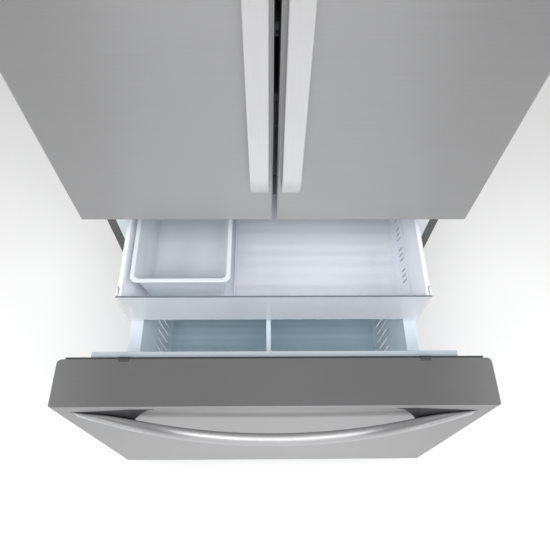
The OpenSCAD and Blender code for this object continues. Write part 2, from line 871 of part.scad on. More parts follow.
module machine_cover() {
  edge = half_case - sheet - fit;
  y = case_back - sheet - fit;
  color("#8b8d90") difference() {
    block([-edge, y, case_bottom + 4], [edge, y + sheet, machine_top]);
    for (i = [0:9], x = [-280:56:224])
      block([x, y - 1, 80 + i * 18], [x + 40, y + 2, 86 + i * 18]);
    block([-valve_x - 26, y - 1, valve_z - 26], [-valve_x + 26, y + 2, valve_z + 26]);
    rod([336, y - 1, 110], 4, 11, "y");
  }
  // Bush that the supply lead would leave through
  color("#2e2f31") difference() {
    rod([336, y - 6, 110], 8, 14, "y");
    rod([336, y - 7, 110], 10, 5.5, "y");
  }
}

comp_x = 250;
comp_y = 745;

module compressor() {
  r = 72;
  z0 = 74;
  color("#1f2022") translate([comp_x, comp_y, 0]) {
    translate([0, 0, z0]) rotate_extrude() intersection() {
      rounded([-r, 0], [r, 160], 34, 34);
      square([r, 160]);
    }
    translate([-90, -60, 66]) cube([180, 120, 4]);
    for (x = [-78, 78], y = [-48, 48])
      translate([x, y, case_bottom + floor_plate_t]) cylinder(r = 9, h = 66 - case_bottom - floor_plate_t);
    translate([-30, -30, 69]) cube([60, 60, 8]);
    translate([-r - 22, -22, 120]) cube([30, 44, 60]);
    translate([30, 0, z0 + 150]) cylinder(r = 4, h = 30);
    translate([-20, 20, z0 + 150]) cylinder(r = 3, h = 36);
  }
}

module condenser() {
  color("#2a2b2d") {
    for (i = [0:13])
      block([-330, 668 + i * 12, 76], [-180, 669 + i * 12, 250]);
    for (x = [-310:36.6:-200], z = [96, 142, 188, 234])
      rod([x, 664, z], 166, 4, "y");
    for (y = [664, 829])
      block([-330, y, case_bottom + floor_plate_t], [-180, y + 1.5, 250]);
  }
}

cool_fan_x = -128;
cool_fan_y = 746;
cool_fan_z = 156;

module condenser_fan_mount() {
  color("#37393b") {
    difference() {
      block([cool_fan_x - 14, cool_fan_y - 84, case_bottom + floor_plate_t],
            [cool_fan_x + 18, cool_fan_y + 84, cool_fan_z + 86]);
      rod([cool_fan_x - 20, cool_fan_y, cool_fan_z], 60, 78, "x");
    }
    difference() {
      union() {
        rod([cool_fan_x + 18, cool_fan_y, cool_fan_z], 34, 24, "x");
        for (a = [0, 120, 240])
          translate([cool_fan_x + 18, cool_fan_y, cool_fan_z]) rotate([a, 0, 0])
            block([0, -5, 20], [4, 5, 80]);
      }
      rod([cool_fan_x + 10, cool_fan_y, cool_fan_z], 30, 3 + bore_fit, "x");
    }
  }
}

module condenser_fan() {
  color("#50535a") translate([cool_fan_x - 12, cool_fan_y, cool_fan_z]) rotate([0, 90, 0]) {
    fan(18, 70, 24, 5);
    cylinder(r = 3, h = 48);
  }
}

valve_x = 365;
valve_z = 200;
inlet_r = 5.56;
inlet_l = 16;

module water_valve() {
  y = case_back - 20;
  color("#e3e5e6") translate([-valve_x, 0, valve_z]) {
    rod([0, y - 2, 0], inlet_l + 2, inlet_r, "y");
    block([-20, y - 42, -18], [20, y, 18]);
    rod([0, y - 22, 18], 34, 13);
    block([-14, y - 42, -valve_z + case_bottom + floor_plate_t], [14, y - 38, -17]);
  }
}

placed() cabinet_shell();
placed() back_panel();
placed() cabinet_foam();
placed() fridge_liner();
placed() freezer_liner();
placed() horizontal_mullion();
placed() base_frame();
placed() toe_grille();
placed() levelling_legs();
placed() rear_rollers();
placed() top_hinges();
placed() hinge_covers();
placed() middle_hinges();
placed() machine_cover();
placed() compressor();
placed() condenser();
placed() condenser_fan_mount();
placed() condenser_fan();
placed() water_valve();
placed() glass_shelves();
placed() shelf_frames();
placed() shelf_ladders();
placed() crisper_cover();
placed() crisper_left();
placed() crisper_right();
placed() deli_drawer();
placed() air_duct_cover();
placed() ceiling_light();
placed() control_panel();
placed() freezer_duct_cover();
placed() evaporator();
placed() evaporator_fan();
placed() ice_maker();
placed() ice_ejector();
placed() rail_outer();
placed(drawer_out / 2) rail_middle();
placed(drawer_out) rail_inner();
placed() tray_tracks();
placed() left_door_skin();
placed() left_door_liner();
placed() left_door_seal();
placed() left_door_bins();
placed() left_door_handle();
placed() flipper_hinges();
placed() flipper_mullion();
placed() right_door_skin();
placed() right_door_liner();
placed() right_door_seal();
placed() right_door_bins();
placed() right_door_handle();
placed(drawer_out) drawer_front_skin();
placed(drawer_out) drawer_front_liner();
placed(drawer_out) drawer_front_seal();
placed(drawer_out) drawer_handle();
placed(drawer_out) lower_basket();
placed(drawer_out) basket_divider();
placed(tray_out) upper_tray();
placed(tray_out) tray_clear_front();
placed(tray_out) ice_bin();
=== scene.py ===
import json
import math

import bmesh
import bpy
from mathutils import Matrix, Vector


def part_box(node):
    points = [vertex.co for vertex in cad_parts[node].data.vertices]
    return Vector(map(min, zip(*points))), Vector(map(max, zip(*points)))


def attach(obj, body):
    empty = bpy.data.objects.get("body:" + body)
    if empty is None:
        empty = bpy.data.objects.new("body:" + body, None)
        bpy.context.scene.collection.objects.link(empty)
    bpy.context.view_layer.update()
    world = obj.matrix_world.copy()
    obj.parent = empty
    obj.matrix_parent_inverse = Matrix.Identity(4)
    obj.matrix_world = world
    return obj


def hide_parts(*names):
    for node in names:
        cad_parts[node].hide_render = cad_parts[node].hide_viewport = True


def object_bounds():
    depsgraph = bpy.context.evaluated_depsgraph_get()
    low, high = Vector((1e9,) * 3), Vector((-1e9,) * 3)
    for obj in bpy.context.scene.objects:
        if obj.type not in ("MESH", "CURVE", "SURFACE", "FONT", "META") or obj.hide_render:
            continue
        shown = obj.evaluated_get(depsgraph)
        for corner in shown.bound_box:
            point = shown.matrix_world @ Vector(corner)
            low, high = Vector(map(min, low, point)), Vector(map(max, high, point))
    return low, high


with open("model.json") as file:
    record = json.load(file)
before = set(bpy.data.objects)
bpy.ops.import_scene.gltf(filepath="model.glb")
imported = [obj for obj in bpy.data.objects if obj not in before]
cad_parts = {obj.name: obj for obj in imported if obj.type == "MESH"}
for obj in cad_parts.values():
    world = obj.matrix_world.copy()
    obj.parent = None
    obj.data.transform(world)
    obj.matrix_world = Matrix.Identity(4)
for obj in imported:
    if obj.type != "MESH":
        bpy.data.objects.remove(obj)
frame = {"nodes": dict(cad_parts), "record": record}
cad_low, cad_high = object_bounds()

MM = 0.001
scene = bpy.context.scene
scene.view_settings.view_transform = "Standard"

# ---------- Camera, found from straight edges of the doors, case and drawer ----------

CAMERA_AT = Vector((-0.0153, -0.8671, 1.7303))
CAMERA_DOWN = math.radians(61.35)
CAMERA_YAW = math.radians(1.65)
CAMERA_ROLL = math.radians(1.33)
LENS_MM = 33.34
SENSOR_MM = 36.0


def add_camera():
    forward = Vector((math.sin(CAMERA_YAW) * math.cos(CAMERA_DOWN),
                      math.cos(CAMERA_YAW) * math.cos(CAMERA_DOWN),
                      -math.sin(CAMERA_DOWN)))
    level_right = Vector((math.cos(CAMERA_YAW), -math.sin(CAMERA_YAW), 0))
    level_up = level_right.cross(forward)
    right = math.cos(CAMERA_ROLL) * level_right + math.sin(CAMERA_ROLL) * level_up
    up = math.cos(CAMERA_ROLL) * level_up - math.sin(CAMERA_ROLL) * level_right
    data = bpy.data.cameras.new("camera")
    data.lens = LENS_MM
    data.sensor_width = SENSOR_MM
    data.clip_start = 0.05
    camera = bpy.data.objects.new("camera", data)
    turn = Matrix((right, up, -forward)).transposed().to_4x4()
    camera.matrix_world = Matrix.Translation(CAMERA_AT) @ turn
    scene.collection.objects.link(camera)
    scene.camera = camera


# ---------- Light ----------

WORLD_STRENGTH = 0.26
OPEN_DRAWER = (0, -0.5, 0.3)


def add_area_light(name, at, target, size, watts):
    data = bpy.data.lights.new(name, "AREA")
    data.shape = "RECTANGLE"
    data.size, data.size_y = size
    data.energy = watts
    light = bpy.data.objects.new(name, data)
    light.location = at
    light.rotation_euler = (Vector(target) - Vector(at)).to_track_quat("-Z", "Y").to_euler()
    light.visible_camera = False
    scene.collection.objects.link(light)
    return light


def add_studio():
    """Large soft lights all round, and two small ones for light that bounces in the open drawer."""
    world = bpy.data.worlds.new("studio")
    scene.world = world
    world.use_nodes = True
    background = world.node_tree.nodes["Background"]
    background.inputs["Color"].default_value = (1.0, 1.0, 1.0, 1)
    background.inputs["Strength"].default_value = WORLD_STRENGTH
    for side in (-1, 1):
        add_area_light("side_light", at=(side * 1.6, -0.7, 1.7), target=OPEN_DRAWER,
                       size=(1.2, 0.9), watts=14)
    add_area_light("back_fill", at=(0, 3.2, 1.9), target=(0, 0.6, 0.8), size=(3.0, 1.6), watts=34)
    front_fill = add_area_light("front_fill", at=(0, -3.4, 1.5), target=(0, -0.2, 0.6),
                                size=(2.4, 1.0), watts=36)
    softbox = add_area_light("softbox", at=(0, -1.75, 3.2), target=OPEN_DRAWER,
                             size=(3.0, 1.6), watts=84)
    lamp_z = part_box("freezer_liner")[1].z - 60 * MM
    add_area_light("freezer_lamp", at=(0, -0.06, lamp_z), target=(0, 0.02, 0),
                   size=(0.6, 0.05), watts=0.04)
    tray_glow = add_area_light("tray_glow", at=(0, -0.40, 0.70), target=(0, -0.07, 0.95),
                               size=(0.8, 0.3), watts=0.65)
    return softbox, front_fill, tray_glow


def aim_light(light, pieces, state):
    """EXCLUDE keeps the light off these pieces, as a studio flag would; INCLUDE lights only them."""
    chosen = bpy.data.collections.new(light.name + "_pieces")
    light.light_linking.receiver_collection = chosen
    for piece in pieces:
        chosen.objects.link(piece)
        chosen.collection_objects[-1].light_linking.link_state = state


# ---------- Materials ----------

class Surface:
    """One procedural material, built round a Principled shader in object coordinates (metres)."""

    def __init__(self, name, roughness, metallic=0.0, **sockets):
        self.material = bpy.data.materials.new(name)
        self.material.use_nodes = True
        self.tree = self.material.node_tree
        self.shader = self.tree.nodes["Principled BSDF"]
        self.set("Roughness", roughness)
        self.set("Metallic", metallic)
        for socket, value in sockets.items():
            self.set(socket.replace("_", " "), value)
        self.place = self.node("ShaderNodeTexCoord").outputs["Object"]

    def node(self, kind, **values):
        made = self.tree.nodes.new(kind)
        for key, value in values.items():
            setattr(made, key, value)
        return made

    def link(self, source, target):
        self.tree.links.new(source, target)

    def set(self, socket, value):
        self.shader.inputs[socket].default_value = value

    def noise(self, scale, stretch=(1, 1, 1), detail=3.0, roughness=0.55):
        """A noise factor; stretch holds the repeats along X, Y and Z."""
        mapping = self.node("ShaderNodeMapping")
        mapping.inputs["Scale"].default_value = stretch
        self.link(self.place, mapping.inputs["Vector"])
        noise = self.node("ShaderNodeTexNoise")
        noise.inputs["Scale"].default_value = scale
        noise.inputs["Detail"].default_value = detail
        noise.inputs["Roughness"].default_value = roughness
        self.link(mapping.outputs["Vector"], noise.inputs["Vector"])
        return noise.outputs["Fac"]

    def ramp(self, factor, low, high, at=(0.35, 0.65)):
        """Maps a factor to a number between low and high, or to a colour between two colours."""
        if isinstance(low, tuple):
            ramp = self.node("ShaderNodeValToRGB")
            for element, position, colour in zip(ramp.color_ramp.elements, at, (low, high)):
                element.position = position
                element.color = (*colour, 1)
            self.link(factor, ramp.inputs["Fac"])
            return ramp.outputs["Color"]
        remap = self.node("ShaderNodeMapRange")
        for socket, value in zip(("From Min", "From Max", "To Min", "To Max"), (*at, low, high)):
            remap.inputs[socket].default_value = value
        self.link(factor, remap.inputs["Value"])
        return remap.outputs["Result"]

    def mix(self, factor, first, second, mode="MIX"):
        mix = self.node("ShaderNodeMix", data_type="RGBA", blend_type=mode)
        for socket, value in zip((0, 6, 7), (factor, first, second)):
            if hasattr(value, "is_output"):
                self.link(value, mix.inputs[socket])
            else:
                mix.inputs[socket].default_value = value if socket == 0 else (*value, 1)
        return mix.outputs[2]

    def wear(self, amount):
        """A factor that is high along convex edges."""
        pointy = self.node("ShaderNodeNewGeometry").outputs["Pointiness"]
        return self.ramp(pointy, 0.0, amount, at=(0.52, 0.60))

    def colour(self, source):
        self.link(source, self.shader.inputs["Base Color"])

    def roughness(self, source):
        self.link(source, self.shader.inputs["Roughness"])

    def bump(self, *layers):
        """Each layer is (height factor, strength, depth in metres)."""
        normal = None
        for height, strength, depth in layers:
            bump = self.node("ShaderNodeBump")
            bump.inputs["Strength"].default_value = strength
            bump.inputs["Distance"].default_value = depth
            self.link(height, bump.inputs["Height"])
            if normal:
                self.link(normal, bump.inputs["Normal"])
            normal = bump.outputs["Normal"]
        self.link(normal, self.shader.inputs["Normal"])


def shade(colour, factor):
    return tuple(min(1.0, c * factor) for c in colour)


def brushed_steel(name, colour, rough=0.48, along="x", contrast=0.03, metallic=0.85):
    """Fine parallel brush lines along X or Z, which spread the gloss across them."""
    s = Surface(name, rough, metallic, Anisotropic=0.85)
    tangent = s.node("ShaderNodeTangent", axis=along.upper())
    s.link(tangent.outputs["Tangent"], s.shader.inputs["Tangent"])
    stretch = {"x": (2.0, 260, 260), "z": (260, 260, 2.0)}[along]
    lines = s.noise(4.0, stretch, detail=4.0, roughness=0.7)
    cloud = s.noise(2.2, detail=2.0)
    tone = s.ramp(cloud, shade(colour, 1 - contrast), shade(colour, 1 + contrast), at=(0.3, 0.7))
    line_tone = s.ramp(lines, (0.93, 0.93, 0.93), (1.0, 1.0, 1.0), at=(0.3, 0.7))
    s.colour(s.mix(1.0, tone, line_tone, "MULTIPLY"))
    s.roughness(s.ramp(cloud, rough - 0.02, rough + 0.03, at=(0.3, 0.7)))
    s.bump((lines, 0.06, 0.0002))
    return s.material


def moulded(name, colour, rough, grain=900.0, **sockets):
    """Moulded plastic: flow marks, fine grain and a slightly uneven gloss."""
    s = Surface(name, rough, **sockets)
    flow = s.noise(3.0, (1, 1, 0.5), detail=3.0)
    fine = s.noise(grain, detail=2.0)
    tone = s.ramp(flow, shade(colour, 0.97), shade(colour, 1.018), at=(0.3, 0.7))
    s.colour(s.mix(s.wear(0.3), tone, shade(colour, 1.12)))
    s.roughness(s.ramp(flow, rough - 0.01, rough + 0.02, at=(0.3, 0.8)))
    s.bump((fine, 0.05, 0.0003), (flow, 0.10, 0.0004))
    return s.material


def clear_plastic(name, colour, alpha):
    """Clear moulded plastic, seen as a pale film with gloss on both faces."""
    s = Surface(name, 0.08, Alpha=alpha, IOR=1.5)
    flow = s.noise(5.0, (1, 1, 0.4), detail=2.0)
    haze = s.noise(45.0, (1, 0.3, 1), detail=5.0)
    s.colour(s.ramp(flow, shade(colour, 0.95), shade(colour, 1.03), at=(0.3, 0.7)))
    s.roughness(s.ramp(haze, 0.08, 0.20, at=(0.45, 0.75)))
    s.bump((flow, 0.2, 0.0004))
    return s.material


def painted(name, colour, rough=0.42):
    """Powder paint: orange peel, faint dust and rubbed edges."""
    s = Surface(name, rough)
    peel = s.noise(260.0, detail=2.0)
    dust = s.noise(7.0, detail=5.0)
    tone = s.ramp(dust, shade(colour, 0.93), shade(colour, 1.06), at=(0.3, 0.72))
    s.colour(s.mix(s.wear(0.45), tone, shade(colour, 1.5)))
    s.roughness(s.ramp(dust, rough - 0.02, rough + 0.03, at=(0.35, 0.7)))
    s.bump((peel, 0.12, 0.0004))
    return s.material


def rubber(name, colour):
    """Matt rubber with a faint uneven bloom."""
    s = Surface(name, 0.62)
    fine = s.noise(700.0, detail=3.0)
    bloom = s.noise(12.0, detail=4.0)
    s.colour(s.ramp(bloom, shade(colour, 0.85), shade(colour, 1.2), at=(0.3, 0.75)))
    s.roughness(s.ramp(bloom, 0.55, 0.72, at=(0.3, 0.7)))
    s.bump((fine, 0.2, 0.0003))
    return s.material


def zinc(name, colour, rough=0.34):
    """Zinc-plated sheet with its crystal patches and handling marks."""
    s = Surface(name, rough, 1.0)
    patches = s.node("ShaderNodeTexVoronoi")
    patches.inputs["Scale"].default_value = 90.0
    s.link(s.place, patches.inputs["Vector"])
    marks = s.noise(14.0, detail=6.0)
    tone = s.ramp(patches.outputs["Distance"], shade(colour, 1.05), shade(colour, 0.9), at=(0.1, 0.8))
    s.colour(s.mix(s.ramp(marks, 0.0, 0.15, at=(0.5, 0.75)), tone, shade(colour, 0.8)))
    s.roughness(s.ramp(marks, rough - 0.02, rough + 0.05, at=(0.35, 0.75)))
    return s.material


def foam(name, colour):
    """Cut foam with small open cells."""
    s = Surface(name, 0.9)
    cells = s.noise(420.0, detail=4.0)
    tone = s.noise(6.0, detail=4.0)
    s.colour(s.ramp(tone, shade(colour, 0.85), shade(colour, 1.05), at=(0.3, 0.7)))
    s.bump((cells, 0.5, 0.001))
    return s.material


def glass(name, colour, alpha):
    """Tinted glass under a thin uneven film."""
    s = Surface(name, 0.04, Alpha=alpha, IOR=1.52)
    film = s.noise(30.0, detail=5.0)
    s.colour(s.ramp(film, shade(colour, 0.96), colour, at=(0.4, 0.7)))
    s.roughness(s.ramp(film, 0.03, 0.12, at=(0.5, 0.8)))
    return s.material


STEEL = (0.43, 0.43, 0.437)
# Milky plastic that lets some light through
CLOUDY = {"Subsurface_Weight": 0.4, "Subsurface_Radius": (1.0, 1.0, 1.0), "Subsurface_Scale": 0.012}
LOOKS = {
    "case_paint": painted("case_paint", (0.07, 0.071, 0.073), 0.52),
    "back_sheet": zinc("back_sheet", (0.46, 0.47, 0.48), 0.55),
    "foam": foam("foam", (0.78, 0.70, 0.44)),
    "liner_white": moulded("liner_white", (0.70, 0.775, 0.79), 0.28, 500.0),
    "beam_dark": painted("beam_dark", (0.03, 0.03, 0.032)),
    "base_steel": painted("base_steel", (0.15, 0.155, 0.16)),
    "grille_plastic": moulded("grille_plastic", (0.055, 0.057, 0.06), 0.5),
    "black_plastic": moulded("black_plastic", (0.012, 0.012, 0.013), 0.5),
    "hinge_steel": zinc("hinge_steel", (0.60, 0.61, 0.62)),
    "cover_plastic": moulded("cover_plastic", (0.085, 0.088, 0.092), 0.45),
    "compressor_paint": painted("compressor_paint", (0.010, 0.010, 0.011), 0.3),
    "coil_paint": painted("coil_paint", (0.016, 0.016, 0.018), 0.4),
    "valve_plastic": moulded("valve_plastic", (0.75, 0.76, 0.77), 0.4),
    "shelf_glass": glass("shelf_glass", (0.62, 0.80, 0.78), 0.28),
    "trim_white": moulded("trim_white", (0.78, 0.82, 0.84), 0.3),
    "zinc_steel": zinc("zinc_steel", (0.60, 0.61, 0.62)),
    "clear_plastic": clear_plastic("clear_plastic", (0.93, 0.96, 1.0), 0.52),
    "lamp_lens": moulded("lamp_lens", (0.92, 0.94, 0.96), 0.4),
    "coil_aluminium": zinc("coil_aluminium", (0.68, 0.69, 0.70)),
    "ice_plastic": moulded("ice_plastic", (0.64, 0.69, 0.72), 0.35),
    "door_steel": brushed_steel("door_steel", STEEL),
    "door_core": moulded("door_core", (0.72, 0.79, 0.83), 0.3, 500.0),
    "seal_rubber": rubber("seal_rubber", (0.035, 0.036, 0.038)),
    "handle_steel": brushed_steel("handle_steel", (0.73, 0.73, 0.74), 0.45, "z", 0.02, 0.45),
    "basket_plastic": moulded("basket_plastic", (0.65, 0.745, 0.83), 0.3, **CLOUDY),
    "tray_plastic": moulded("tray_plastic", (0.75, 0.78, 0.86), 0.26, **CLOUDY),
    "bin_plastic": moulded("bin_plastic", (0.63, 0.69, 0.73), 0.3, **CLOUDY),
    "divider_plastic": moulded("divider_plastic", (0.62, 0.72, 0.78), 0.3),
}
BOW_STEEL = brushed_steel("bow_steel", (0.52, 0.52, 0.53), 0.3, "x", 0.02, 0.9)
# A darker copy of the door liners' white plastic: painted shade on the drawer's liner
LINER_PAINTED_SHADE = moulded("liner_painted_shade", (0.38, 0.43, 0.47), 0.3, 500.0)
# Near black: painted shade for the caps in the gap behind the bow's ends, and the black of the drawer clips
CAP_SHADE_AND_CLIP_BLACK = moulded("cap_shade_and_clip_black", (0.03, 0.03, 0.032), 0.5)
# Grey for strips behind the tray's slots: painted shade seen through them
VENT_PAINTED_SHADE = moulded("vent_painted_shade", (0.16, 0.18, 0.20), 0.5)
# A lighter, bluer copy of the basket plastic for the basket's floor: painted light
BASKET_FLOOR_PAINTED_LIGHT = moulded("basket_floor_painted_light", (0.64, 0.84, 0.98), 0.3, **CLOUDY)
SMOKED_EDGE = moulded("smoked_edge", (0.14, 0.16, 0.18), 0.2)
COPPER = zinc("copper", (0.72, 0.36, 0.22), 0.3)


# ---------- CAD nodes that keep their shape ----------

SLOT_OF = {row["node"]: row["material_slot"] for row in frame["record"]["subparts"]}

# Width in millimetres of the rounding along the edges of a node
EDGE_ROUNDING = {
    "left_door_skin": 1.2, "right_door_skin": 1.2, "drawer_front_skin": 1.2,
    "left_door_handle": 3.0, "right_door_handle": 3.0, "hinge_covers": 2.0,
    "cabinet_shell": 0.5, "left_door_liner": 3.0, "right_door_liner": 3.0, "drawer_front_liner": 3.0,
    "fridge_liner": 0.8, "freezer_liner": 0.8, "ceiling_light": 2.0, "control_panel": 1.0,
    "horizontal_mullion": 0.6, "flipper_mullion": 2.0, "basket_divider": 0.8, "shelf_frames": 1.5,
    "crisper_cover": 1.2, "levelling_legs": 1.0, "ice_maker": 1.0, "compressor": 1.5, "water_valve": 1.0,
}
DEFAULT_ROUNDING = 0.4

# Nodes whose colour differs from the rest of their slot: the drawer's liner gets a darker copy of the liner
# white, painted shade
LOOK_OF_NODE = {"drawer_front_liner": LINER_PAINTED_SHADE}


def soften(node, width_mm):
    """Rounds the edges of a CAD node with modifiers only, so that they catch the light."""
    for polygon in node.data.polygons:
        polygon.use_smooth = True
    weld = node.modifiers.new("weld", "WELD")
    weld.merge_threshold = 1e-5
    flat = node.modifiers.new("flat", "DECIMATE")
    flat.decimate_type = "DISSOLVE"
    flat.angle_limit = math.radians(0.6)
    bevel = node.modifiers.new("edges", "BEVEL")
    bevel.width = width_mm * MM
    bevel.segments = 3
    bevel.limit_method = "ANGLE"
    bevel.angle_limit = math.radians(35)
    normals = node.modifiers.new("normals", "WEIGHTED_NORMAL")
    normals.weight = 60


def dress_cad_nodes():
    for name, node in frame["nodes"].items():
        node.data.materials.clear()
        node.data.materials.append(LOOK_OF_NODE.get(name, LOOKS[SLOT_OF[name]]))
        soften(node, EDGE_ROUNDING.get(name, DEFAULT_ROUNDING))


# ---------- Mesh helpers ----------

def make_piece(name, mesh, body, slot, replaced=(), material=None):
    obj = bpy.data.objects.new(name, mesh)
    mesh.materials.append(material or LOOKS[slot])
    scene.collection.objects.link(obj)
    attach(obj, body)
    if replaced:
        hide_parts(*replaced)
    return obj


def mesh_from(name, build):
    """A mesh from a function that fills a bmesh; its normals end up outward."""
    mesh = bpy.data.meshes.new(name)
    bm = bmesh.new()
    build(bm)
    bmesh.ops.recalc_face_normals(bm, faces=bm.faces)
    bm.to_mesh(mesh)
    bm.free()
    return mesh


def smooth_by_angle(mesh, degrees=35):
    for polygon in mesh.polygons:
        polygon.use_smooth = True
    bm = bmesh.new()
    bm.from_mesh(mesh)
    for edge in bm.edges:
        edge.smooth = edge.is_boundary or edge.calc_face_angle(0.0) < math.radians(degrees)
    bm.to_mesh(mesh)
    bm.free()


CORNER_STEPS = 6
FILLET_STEPS = 5


def ring_points(x0, x1, y0, y1, radius, z):
    """A rounded rectangle at one height, counter-clockwise."""
    radius = min(radius, (x1 - x0) / 2 - 1e-5, (y1 - y0) / 2 - 1e-5)
    points = []
    corners = ((x1, y0, -90), (x1, y1, 0), (x0, y1, 90), (x0, y0, 180))
    for x, y, start in corners:
        cx = x - radius if x == x1 else x + radius
        cy = y - radius if y == y1 else y + radius
        for i in range(CORNER_STEPS + 1):
            a = math.radians(start + 90 * i / CORNER_STEPS)
            points.append(Vector((cx + radius * math.cos(a), cy + radius * math.sin(a), z)))
    return points


def loft(bm, rings):
    """Joins rings of equal length in order and caps the first and the last."""
    made = [[bm.verts.new(p) for p in ring] for ring in rings]
    count = len(made[0])
    for low, high in zip(made, made[1:]):
        for i in range(count):
            j = (i + 1) % count
            bm.faces.new((low[i], low[j], high[j], high[i]))
    bm.faces.new(list(reversed(made[0])))
    bm.faces.new(made[-1])


def fillet(offset, radius):
    """(inset, rise) pairs up the rounded edge between a floor and a wall, both set in by offset."""
    pairs = []
    for i in range(FILLET_STEPS + 1):
        a = math.radians(90 * i / FILLET_STEPS)
        pairs.append((radius * (1 - math.sin(a)) + offset, radius * (1 - math.cos(a)) + offset))
    return pairs


def tub_rings(low, high, wall, lean, corner, bottom_r, lip=None):
    """Rings of an open box: outside up from the floor, over the rim and down the inside.

    low and high are the box of the body without its rim, lean is how far the walls lean in at
    the floor as (x, y), and lip is the rim's flange as (reach x, reach y, thickness, corner).
    """
    depth = high.z - low.z
    rings = []

    def ring(inset, z, radius, grow=(0, 0)):
        share = (high.z - z) / depth
        dx = lean[0] * share + inset - grow[0]
        dy = lean[1] * share + inset - grow[1]
        rings.append(ring_points(low.x + dx, high.x - dx, low.y + dy, high.y - dy, radius, z))

    for inset, rise in fillet(0, bottom_r):
        ring(inset, low.z + rise, max(corner - inset, 1 * MM))
    if lip:
        reach_x, reach_y, thick, lip_corner = lip
        edge = min(1.0 * MM, thick * 0.4)
        ring(0, high.z - thick, corner)
        ring(edge, high.z - thick, lip_corner, (reach_x, reach_y))
        ring(0, high.z - thick + edge, lip_corner, (reach_x, reach_y))
        ring(0, high.z - edge, lip_corner, (reach_x, reach_y))
        ring(edge, high.z, lip_corner, (reach_x, reach_y))
    else:
        ring(0, high.z - 1 * MM, corner)
        ring(0.6 * MM, high.z, corner)
    ring(wall - 0.6 * MM, high.z, corner - wall * 0.6)
    ring(wall, high.z - 1 * MM, corner - wall)
    for inset, rise in reversed(fillet(wall, max(bottom_r - wall, 3 * MM))):
        ring(inset, low.z + rise, max(corner - inset, 1 * MM))
    return rings


def box_into(bm, low, high):
    """Adds a box to a bmesh."""
    corners = [Vector((x, y, z)) for z in (low[2], high[2])
               for x, y in ((low[0], low[1]), (high[0], low[1]), (high[0], high[1]), (low[0], high[1]))]
    v = [bm.verts.new(c) for c in corners]
    for face in ((3, 2, 1, 0), (4, 5, 6, 7), (0, 1, 5, 4), (1, 2, 6, 5), (2, 3, 7, 6), (3, 0, 4, 7)):
        bm.faces.new([v[i] for i in face])


def rounded_boxes(name, boxes, radius, segments=2):
    """One mesh of separate boxes with rounded edges."""
    def build(bm):
        for low, high in boxes:
            box_into(bm, low, high)
        bmesh.ops.bevel(bm, geom=list(bm.edges), offset=radius, segments=segments, profile=0.5,
                        affect="EDGES", clamp_overlap=True)
    mesh = mesh_from(name, build)
    smooth_by_angle(mesh, 50)
    return mesh


def wavy_plate(name, low, high, pitch, depth):
    """A thin plate whose top rises and falls along Y in shallow waves."""
    steps = round((high.y - low.y) / pitch * 12)

    def build(bm):
        rings = []
        for i in range(steps + 1):
            y = low.y + (high.y - low.y) * i / steps
            top = high.z - depth * (0.5 - 0.5 * math.cos(2 * math.pi * (y - low.y) / pitch))
            corners = ((low.x, low.z), (high.x, low.z), (high.x, top), (low.x, top))
            rings.append([Vector((x, y, z)) for x, z in corners])
        loft(bm, rings)
    mesh = mesh_from(name, build)
    smooth_by_angle(mesh, 30)
    return mesh


def cut(obj, boxes):
    """Cuts boxes out of a piece and applies the result."""
    cutter_mesh = mesh_from("cutter", lambda bm: [box_into(bm, low, high) for low, high in boxes])
    cutter = bpy.data.objects.new("cutter", cutter_mesh)
    scene.collection.objects.link(cutter)
    modifier = obj.modifiers.new("cut", "BOOLEAN")
    modifier.operation = "DIFFERENCE"
    modifier.solver = "EXACT"
    modifier.use_self = True
    modifier.object = cutter
    bpy.context.view_layer.update()
    evaluated = obj.evaluated_get(bpy.context.evaluated_depsgraph_get())
    mesh = bpy.data.meshes.new_from_object(evaluated)
    obj.modifiers.clear()
    obj.data = mesh
    bpy.data.objects.remove(cutter)


# ---------- Freezer drawer ----------

def bow_y(x, half, rise):
    """How far an arc through (+-half, 0) that stands out by rise is in front of its chord at x."""
    if abs(x) >= half:
        return 0.0
    radius = (half * half + rise * rise) / (2 * rise)
    return math.sqrt(radius * radius - x * x) - (radius - rise)


# Slope of the bar's face, in degrees below level
SLOPE_AT_CREST = 26
SLOPE_AT_GROOVE = 84
FACE_STEPS = 16
LIP_STEPS = 4


def bar_section(crest, front, height):
    """Points (out, up) of the bar's section, from its back foot over the crest to the lower lip.

    The face steepens evenly from the crest until it is nearly upright above the groove. Where
    the bar thins out, at its ends, its edge, groove and lip shrink with it.
    """
    thick = front - crest
    edge_r = min(2.2 * MM, thick * 0.3)
    lip_r = min(3 * MM, thick * 0.3)
    groove = min(1.4 * MM, thick * 0.1)
    groove_half = 0.8 * MM
    groove_z = -height / 2 + 6.5 * MM
    face_foot = groove_z + 1.9 * MM
    points = [(crest, -height / 2)]
    for degrees in (-90, -60, -30, 0, SLOPE_AT_CREST):
        a = math.radians(degrees)
        points.append((crest + edge_r * (1 + math.sin(a)), height / 2 - edge_r * (1 - math.cos(a))))
    out, up = points[-1]
    run = (front - out) / FACE_STEPS
    drops = []
    for i in range(FACE_STEPS):
        slope = SLOPE_AT_CREST + (SLOPE_AT_GROOVE - SLOPE_AT_CREST) * (i + 0.5) / FACE_STEPS
        drops.append(run * math.tan(math.radians(slope)))
    shrink = min(1.0, (up - face_foot) / sum(drops))
    for drop in drops:
        out += run
        up -= drop * shrink
        points.append((out, up))
    points += [
        (front, groove_z + 2 * groove_half), (front - groove, groove_z + groove_half),
        (front - groove, groove_z), (front - groove * 0.5, groove_z - groove_half),
    ]
    for i in range(LIP_STEPS + 1):
        a = math.radians(90 * i / LIP_STEPS)
        points.append((front - groove * 0.5 - lip_r * (1 - math.cos(a)),
                       -height / 2 + lip_r * (1 - math.sin(a))))
    return points


BAR_STEPS = 160
SHADE_CAP_STEPS = 60


